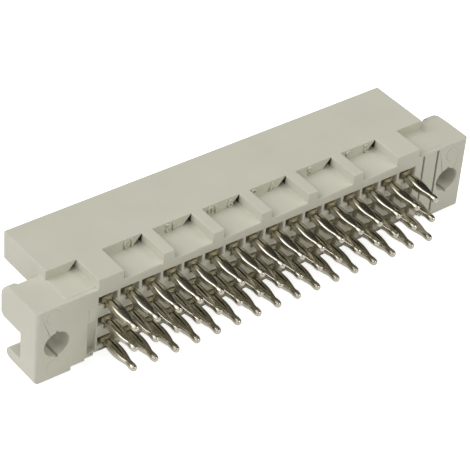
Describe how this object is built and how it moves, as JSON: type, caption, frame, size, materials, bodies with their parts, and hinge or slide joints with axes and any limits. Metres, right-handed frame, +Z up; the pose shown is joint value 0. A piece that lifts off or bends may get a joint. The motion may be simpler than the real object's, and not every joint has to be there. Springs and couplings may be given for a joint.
{
  "type": "press-fit male connector strip",
  "caption": "Straight male board connector with three rows of press-fit tails, a long windowed housing and a screw ear at each end.",
  "frame": {"origin": "middle of the line between the two mounting holes, on the board-side face", "axes": "+X along the strip, +Y from the board towards the mating side, +Z up through the rows to the windowed side"},
  "size_m": [0.0546, 0.016, 0.011],
  "materials": {
    "housing": "fine matt moulded surface",
    "contact": "tin-plated bronze"
  },
  "bodies": {
    "root": {"housing": "housing", "contact_a01": "contact", "contact_a02": "contact", "contact_a03": "contact", "contact_a04": "contact", "contact_a05": "contact", "contact_a06": "contact", "contact_a07": "contact", "contact_a08": "contact", "contact_a09": "contact", "contact_a10": "contact", "contact_a11": "contact", "contact_a12": "contact", "contact_a13": "contact", "contact_a14": "contact", "contact_a15": "contact", "contact_a16": "contact", "contact_b01": "contact", "contact_b02": "contact", "contact_b03": "contact", "contact_b04": "contact", "contact_b05": "contact", "contact_b06": "contact", "contact_b07": "contact", "contact_b08": "contact", "contact_b09": "contact", "contact_b10": "contact", "contact_b11": "contact", "contact_b12": "contact", "contact_b13": "contact", "contact_b14": "contact", "contact_b15": "contact", "contact_b16": "contact", "contact_c01": "contact", "contact_c02": "contact", "contact_c03": "contact", "contact_c04": "contact", "contact_c05": "contact", "contact_c06": "contact", "contact_c07": "contact", "contact_c08": "contact", "contact_c09": "contact", "contact_c10": "contact", "contact_c11": "contact", "contact_c12": "contact", "contact_c13": "contact", "contact_c14": "contact", "contact_c15": "contact", "contact_c16": "contact"}
  },
  "joints": []
}
